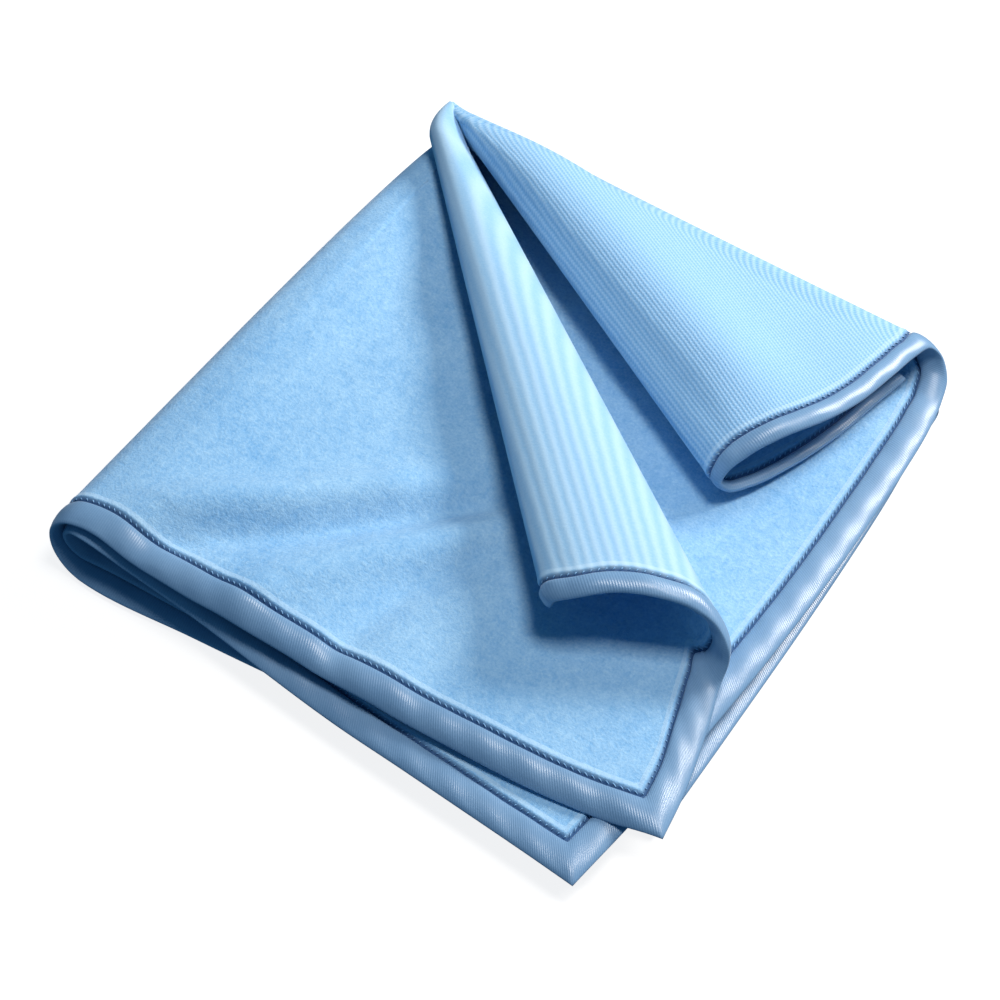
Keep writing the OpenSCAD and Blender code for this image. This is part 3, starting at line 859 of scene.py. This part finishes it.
def binding():
    """Satin tape, woven across, with soft uneven patches."""
    m = Shader("binding_tape")
    along = m.flat()[0]
    at = m.place()
    grain = m.noise(0.7, at, 2, 0.6)
    cloud = m.noise(14.0, at, 2, 0.5)
    weave = m.wave(along, 0.8)
    mixed = m.total((weave, 0.25), (grain, 0.3), (cloud, 0.45))
    m.put(m.main.inputs["Base Color"], m.mix(mixed, srgb("#5E87B0"), srgb("#88ABCC")))
    socket(m.main, "Roughness", 0.32)
    socket(m.main, "Specular IOR Level", 0.55)
    socket(m.main, "Sheen Weight", 0.2)
    socket(m.main, "Sheen Roughness", 0.4)
    m.bump(m.total((weave, 0.6), (grain, 0.5)), 0.35, 0.15)
    return m.material


def thread():
    """Sewing thread, slightly uneven in colour."""
    m = Shader("sewing_thread")
    at = m.place()
    grain = m.noise(0.5, at, 1, 0.5)
    m.put(m.main.inputs["Base Color"], m.mix(grain, srgb("#5B95C8"), srgb("#9CC6E8")))
    socket(m.main, "Roughness", 0.5)
    socket(m.main, "Specular IOR Level", 0.4)
    m.bump(grain, 0.3, 0.08)
    return m.material


PLUSH = plush()
RIBBED = ribbed("ribbed_knit", 2.6, 1.25, 0.03, "#8DBDE2", "#BCDBF1")
WAFFLE = ribbed("waffle_knit", 1.15, 1.25, 0.22, "#6FAADA", "#AFD3F0")
TAPE = binding()
THREAD = thread()

# ---------------------------------------------------------------- the pieces

LAST = COUNT - 1
FABRIC = [PLUSH, RIBBED, WAFFLE]
PLUSH_FACE, RIBBED_FACE, WAFFLE_FACE = range(3)     # their numbers in FABRIC


def place(obj, slot, nodes, body):
    """Gives a piece its body and hides the CAD nodes it stands for. A body of "outer" or "inner"
    is that loop of the folded edge; such a piece only has its transform applied and joins no body.
    slot is not used."""
    if body == "outer":
        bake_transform(obj)
    elif body == "inner":
        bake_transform(obj)
    else:
        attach(obj, body)
    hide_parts(*nodes)
    return obj


lower = place(
    panel("cloth_lower", FOLD_THIRD, FOLD_BOTTOM, 30, 0.0, FABRIC, PLUSH_FACE, RIBBED_FACE),
    "plush_knit", ["panel_bottom_ply", "panel_third_ply", "panel_back_fold"], LOWER)
inner = place(
    panel("cloth_inner_fold", FOLD_MIDDLE, FOLD_THIRD, 40, -PAST, FABRIC, PLUSH_FACE, PLUSH_FACE),
    "plush_knit", ["panel_inner_fold"], "inner")
outer = place(
    panel("cloth_outer_fold", FOLD_BOTTOM, FOLD_TOP, 60, -PAST, FABRIC, PLUSH_FACE, RIBBED_FACE),
    "plush_knit", ["panel_outer_fold"], "outer")
middle = place(
    panel("cloth_middle", 0, FOLD_MIDDLE, 100, -PAST, FABRIC, WAFFLE_FACE, PLUSH_FACE),
    "plush_knit",
    ["panel_middle_ply", "panel_right_fold", "panel_right_roll", "panel_right_roll_under"],
    UPPER)
top = place(
    panel("cloth_top", FOLD_TOP, LAST, 110, -PAST, FABRIC, PLUSH_FACE, RIBBED_FACE),
    "plush_knit",
    ["panel_top_ply", "panel_left_roll_side", "panel_left_roll", "panel_left_roll_under"],
    UPPER)

TAPES = [
    ("bottom_front", CORNER["bottom"], FOLD_BOTTOM, LOWER),
    ("bottom_right", BACK_BOTTOM, CORNER["bottom"], LOWER),
    ("third_front", FOLD_THIRD, CORNER["third"], LOWER),
    ("third_right", CORNER["third"], BACK_THIRD, LOWER),
    ("back_fold", BACK_THIRD, BACK_BOTTOM, LOWER),
    ("outer_fold", FOLD_BOTTOM, FOLD_TOP, "outer"),
    ("inner_fold", FOLD_MIDDLE, FOLD_THIRD, "inner"),
    ("middle_front", CORNER["middle"], FOLD_MIDDLE, UPPER),
    ("middle_right", RIGHT_HEM_END, CORNER["middle"], UPPER),
    ("right_fold", START["right_fold"], RIGHT_HEM_END, UPPER),
    ("right_roll", 0, START["right_fold"], UPPER),
    ("top_front", FOLD_TOP, CORNER["top"], UPPER),
    ("top_right", CORNER["top"], LEFT_ROLL_START, UPPER),
    ("left_roll", LEFT_ROLL_START, LAST, UPPER),
]
for label, first, last, body in TAPES:
    place(tape("binding_" + label, first, last, TAPE), "binding_tape", ["tape_" + label], body)

THREADS = [
    ("bottom", BACK_BOTTOM, FOLD_BOTTOM, LOWER),
    ("third", FOLD_THIRD, BACK_THIRD, LOWER),
    ("outer_fold", FOLD_BOTTOM, FOLD_TOP, "outer"),
    ("inner_fold", FOLD_MIDDLE, FOLD_THIRD, "inner"),
    ("middle", RIGHT_HEM_END, FOLD_MIDDLE, UPPER),
    ("right_roll", 0, RIGHT_HEM_END, UPPER),
    ("top", FOLD_TOP, LAST, UPPER),
]
for label, first, last, body in THREADS:
    for kind, side in (("needle", 1), ("bobbin", -1)):
        row = stitches(f"{kind}_stitches_{label}", first, last, side, THREAD)
        place(row, "sewing_thread", [f"{kind}_thread_{label}"], body)

# ---------------------------------------------------------------- floor, light, camera


def floor():
    """A pale floor just under the cloth, with a faint glow of its own."""
    mesh = bpy.data.meshes.new("floor")
    r = 3.0         # half its side, in metres
    mesh.from_pydata([(-r, -r, 0), (r, -r, 0), (r, r, 0), (-r, r, 0)], [], [(0, 1, 2, 3)])
    m = Shader("floor")
    socket(m.main, "Base Color", (0.25, 0.25, 0.25, 1))
    socket(m.main, "Roughness", 0.9)
    socket(m.main, "Specular IOR Level", 0.1)
    socket(m.main, "Emission Color", (1, 1, 1, 1))
    socket(m.main, "Emission Strength", 0.86)
    mesh.materials.append(m.material)
    obj = bpy.data.objects.new("floor", mesh)
    obj.location = (0, 0, -0.0002)
    obj.visible_diffuse = obj.visible_glossy = False    # the floor's own glow stays off the cloth
    bpy.context.scene.collection.objects.link(obj)


def area_light(name, place, target, size, watts, colour):
    data = bpy.data.lights.new(name, "AREA")
    data.size = size
    data.energy = watts
    data.color = colour
    obj = bpy.data.objects.new(name, data)
    obj.location = place
    obj.rotation_euler = (Vector(target) - Vector(place)).to_track_quat("-Z", "Y").to_euler()
    bpy.context.scene.collection.objects.link(obj)


def camera(place, target, lens):
    data = bpy.data.cameras.new("camera")
    data.lens = lens
    data.sensor_width = 36
    obj = bpy.data.objects.new("camera", data)
    obj.location = place
    obj.rotation_euler = (Vector(target) - Vector(place)).to_track_quat("-Z", "Y").to_euler()
    bpy.context.scene.collection.objects.link(obj)
    bpy.context.scene.camera = obj


floor()
world = bpy.data.worlds.new("studio")
world.use_nodes = True
world.node_tree.nodes["Background"].inputs["Color"].default_value = (0.2, 0.6, 1.0, 1)
world.node_tree.nodes["Background"].inputs["Strength"].default_value = 0.2
bpy.context.scene.world = world
area_light("key", (0.45, 0.85, 0.68), (0, 0, 0), 0.34, 14.5, (1, 0.93, 0.86))
area_light("top", (0.25, 0.1, 1.2), (0, 0, 0), 0.35, 9, (1, 0.95, 0.9))
camera((0.2397, -0.3723, 0.532), (0.0004, -0.0097, 0.010), 79.25)
bpy.context.scene.view_settings.view_transform = "Standard"
